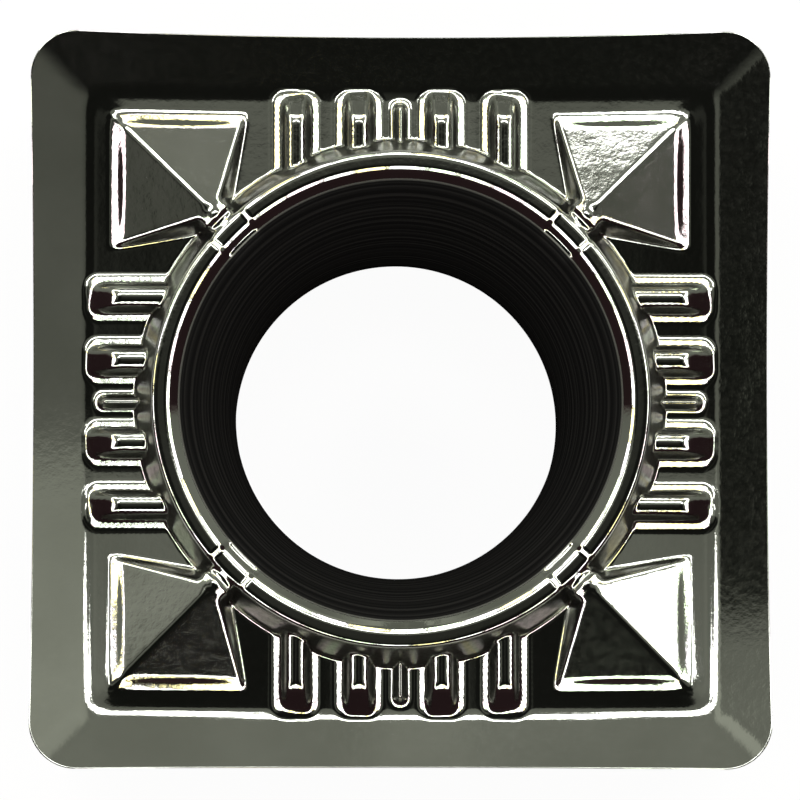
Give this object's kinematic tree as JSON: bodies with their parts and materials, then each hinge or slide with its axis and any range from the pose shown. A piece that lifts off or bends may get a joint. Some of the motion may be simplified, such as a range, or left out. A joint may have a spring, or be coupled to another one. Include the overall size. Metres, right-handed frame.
{
  "type": "carbide insert",
  "caption": "Square positive indexable cutting insert with a countersunk screw hole, a ring round it, ribbed chip grooves and a pyramid in each corner.",
  "frame": {"origin": "centre of the seat face, on the axis of the screw hole", "axes": "+Z along the screw hole, out of the rake face; +X and +Y square to two of the flanks"},
  "size_m": [0.0126, 0.0126, 0.0048],
  "materials": {
    "coated_carbide": "dark grey-black hard coating on sintered tungsten carbide, semi-gloss, rounded pressed edges"
  },
  "bodies": {
    "root": {"insert_body": "coated_carbide"}
  },
  "joints": []
}
